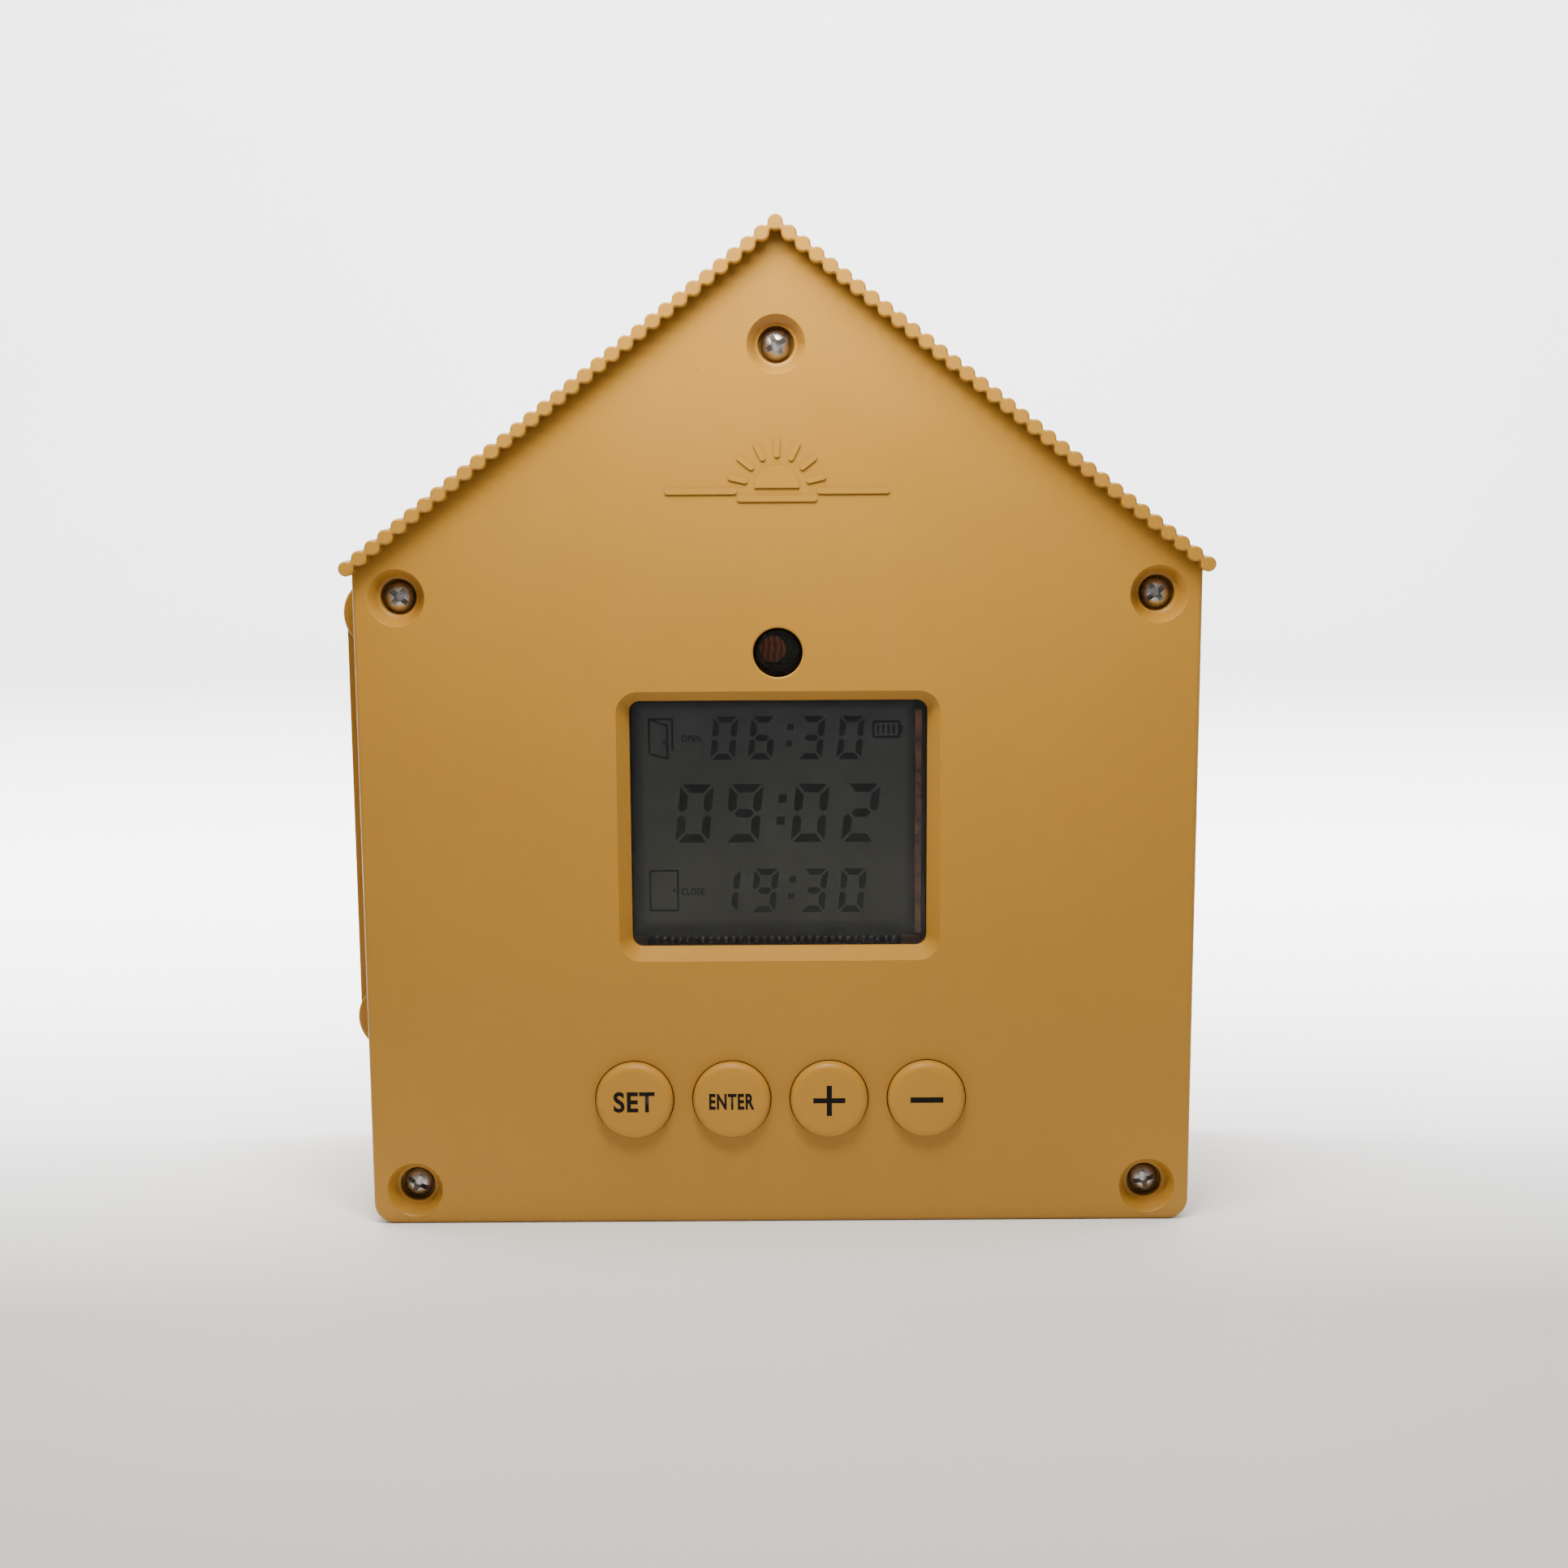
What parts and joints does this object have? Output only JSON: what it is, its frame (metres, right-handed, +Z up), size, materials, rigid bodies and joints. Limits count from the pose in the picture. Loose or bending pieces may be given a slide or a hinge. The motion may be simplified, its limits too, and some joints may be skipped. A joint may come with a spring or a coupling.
{
  "type": "automatic coop door controller",
  "caption": "House-shaped wall unit that raises and lowers a poultry coop door: beaded roof, clear display window, light sensor, round push buttons, side battery door and cord outlet below.",
  "frame": {"origin": "centre of the four wall-screw holes, on the flat back face", "axes": "+X to the right as seen from the front, +Y from the front to the wall, +Z up to the ridge"},
  "size_m": [0.1668, 0.0625, 0.1925],
  "materials": {
    "shell_front": "satin moulded ochre ABS, fine sparkle texture",
    "shell_rear": "satin moulded ochre ABS, fine sparkle texture",
    "gasket": "black silicone cord gasket",
    "cover_screw_steel": "black-zinc plated steel",
    "window_clear": "clear acrylic, thin scratches",
    "lcd": "reflective liquid crystal cell, dark grey-blue",
    "lcd_pin": "tinned phosphor bronze",
    "lcd_frame_plastic": "black moulded ABS",
    "sensor_tint": "dark tinted polycarbonate",
    "sensor_tube_plastic": "black moulded ABS",
    "photocell_ceramic": "lacquered ceramic disc",
    "switch_body": "black switch housings",
    "circuit_board": "green solder mask on glass-epoxy",
    "board_screw_steel": "zinc plated steel",
    "mcu_epoxy": "black moulded epoxy",
    "driver_epoxy": "black moulded epoxy",
    "capacitor_can": "bare aluminium can with a printed stripe",
    "battery_socket_nylon": "natural nylon",
    "motor_socket_nylon": "natural nylon",
    "battery_lead_pvc": "soft PVC insulation",
    "motor_lead_pvc": "soft PVC insulation",
    "door_plastic": "satin moulded ochre ABS, fine sparkle texture",
    "door_seal": "black closed-cell rubber",
    "hinge_pin_steel": "ground steel pin",
    "contact_plate_steel": "nickel plated spring steel",
    "contact_spring_wire": "nickel plated spring wire",
    "output_gear_acetal": "white acetal",
    "gear_b_acetal": "white acetal",
    "gear_a_acetal": "white acetal",
    "pinion_brass": "hobbed brass",
    "arbor_a_steel": "ground steel",
    "arbor_b_steel": "ground steel",
    "output_shaft_steel": "ground steel",
    "bush_left_bronze": "sintered bronze",
    "bush_right_bronze": "sintered bronze",
    "spool_nylon": "black nylon",
    "set_screw_steel": "black-oxide steel",
    "plate_left_steel": "zinc plated pressed steel",
    "plate_right_steel": "zinc plated pressed steel",
    "spacer_steel": "turned steel",
    "winder_screw_steel": "zinc plated steel",
    "motor_can_steel": "drawn, nickel plated steel",
    "end_cap_nylon": "white nylon",
    "terminal_brass": "tinned brass",
    "motor_shaft_steel": "ground steel",
    "motor_screw_steel": "zinc plated steel",
    "eyelet_acetal": "polished black acetal",
    "eyelet_clip_steel": "spring steel",
    "set_button_plastic": "satin moulded ochre ABS with pad-printed legend",
    "set_plunger_plastic": "black switch actuator",
    "enter_button_plastic": "satin moulded ochre ABS with pad-printed legend",
    "enter_plunger_plastic": "black switch actuator",
    "plus_button_plastic": "satin moulded ochre ABS with pad-printed legend",
    "plus_plunger_plastic": "black switch actuator",
    "minus_button_plastic": "satin moulded ochre ABS with pad-printed legend",
    "minus_plunger_plastic": "black switch actuator",
    "battery_1_sleeve": "printed shrink sleeve over a steel can",
    "battery_2_sleeve": "printed shrink sleeve over a steel can",
    "battery_3_sleeve": "printed shrink sleeve over a steel can",
    "battery_4_sleeve": "printed shrink sleeve over a steel can"
  },
  "bodies": {
    "casing": {"front_cover": "shell_front", "rear_housing": "shell_rear", "cover_gasket": "gasket", "cover_screws": "cover_screw_steel", "display_window": "window_clear", "lcd_glass": "lcd", "lcd_pins": "lcd_pin", "lcd_frame": "lcd_frame_plastic", "sensor_lens": "sensor_tint", "sensor_tube": "sensor_tube_plastic", "photocell": "photocell_ceramic", "tact_switches": "switch_body", "main_board": "circuit_board", "board_screws": "board_screw_steel", "microcontroller": "mcu_epoxy", "motor_driver": "driver_epoxy", "capacitor": "capacitor_can", "battery_socket": "battery_socket_nylon", "motor_socket": "motor_socket_nylon", "battery_leads": "battery_lead_pvc", "motor_leads": "motor_lead_pvc", "hinge_pin": "hinge_pin_steel", "contact_plates": "contact_plate_steel", "contact_springs": "contact_spring_wire", "arbor_a": "arbor_a_steel", "arbor_b": "arbor_b_steel", "bush_left": "bush_left_bronze", "bush_right": "bush_right_bronze", "winder_plate_left": "plate_left_steel", "winder_plate_right": "plate_right_steel", "winder_spacers": "spacer_steel", "winder_screws": "winder_screw_steel", "motor_can": "motor_can_steel", "motor_end_cap": "end_cap_nylon", "motor_terminals": "terminal_brass", "motor_screws": "motor_screw_steel", "cord_eyelet": "eyelet_acetal", "eyelet_clip": "eyelet_clip_steel", "battery_1": "battery_1_sleeve", "battery_2": "battery_2_sleeve", "battery_3": "battery_3_sleeve", "battery_4": "battery_4_sleeve"},
    "door": {"battery_door": "door_plastic", "battery_door_seal": "door_seal"},
    "drum": {"output_shaft": "output_shaft_steel", "output_gear": "output_gear_acetal", "spool": "spool_nylon", "spool_set_screw": "set_screw_steel"},
    "wheel_b": {"gear_b": "gear_b_acetal"},
    "wheel_a": {"gear_a": "gear_a_acetal"},
    "rotor": {"motor_shaft": "motor_shaft_steel", "motor_pinion": "pinion_brass"},
    "set_key": {"set_button": "set_button_plastic", "set_plunger": "set_plunger_plastic"},
    "enter_key": {"enter_button": "enter_button_plastic", "enter_plunger": "enter_plunger_plastic"},
    "plus_key": {"plus_button": "plus_button_plastic", "plus_plunger": "plus_plunger_plastic"},
    "minus_key": {"minus_button": "minus_button_plastic", "minus_plunger": "minus_plunger_plastic"}
  },
  "joints": [
    {"name": "battery_door_hinge", "type": "hinge", "parent": "casing", "child": "door", "pos_m": [-0.07785, -0.0235, -0.0358], "axis": [0, -1, 0], "range_deg": [0, 95]},
    {"name": "set_press", "type": "slide", "parent": "casing", "child": "set_key", "axis": [0, 1, 0], "range_m": [0, 0.0005], "stiffness_N_per_m": 1200, "springref_m": -0.0005},
    {"name": "enter_press", "type": "slide", "parent": "casing", "child": "enter_key", "axis": [0, 1, 0], "range_m": [0, 0.0005], "stiffness_N_per_m": 1200, "springref_m": -0.0005},
    {"name": "plus_press", "type": "slide", "parent": "casing", "child": "plus_key", "axis": [0, 1, 0], "range_m": [0, 0.0005], "stiffness_N_per_m": 1200, "springref_m": -0.0005},
    {"name": "minus_press", "type": "slide", "parent": "casing", "child": "minus_key", "axis": [0, 1, 0], "range_m": [0, 0.0005], "stiffness_N_per_m": 1200, "springref_m": -0.0005},
    {"name": "drum_spin", "type": "hinge", "parent": "casing", "child": "drum", "pos_m": [0, -0.022, -0.037], "axis": [1, 0, 0], "continuous": true},
    {"name": "wheel_b_spin", "type": "hinge", "parent": "casing", "child": "wheel_b", "pos_m": [0.01875, -0.016, -0.02195], "axis": [1, 0, 0], "continuous": true},
    {"name": "wheel_a_spin", "type": "hinge", "parent": "casing", "child": "wheel_a", "pos_m": [0.0243, -0.028, -0.01107], "axis": [1, 0, 0], "continuous": true},
    {"name": "rotor_spin", "type": "hinge", "parent": "casing", "child": "rotor", "pos_m": [0.03175, -0.022, 0.00398], "axis": [1, 0, 0], "continuous": true}
  ],
  "couplings": [
    {"joint": "wheel_b_spin", "follows": "drum_spin", "ratio": -3.5},
    {"joint": "wheel_a_spin", "follows": "drum_spin", "ratio": 12.25},
    {"joint": "rotor_spin", "follows": "drum_spin", "ratio": -42.875}
  ]
}
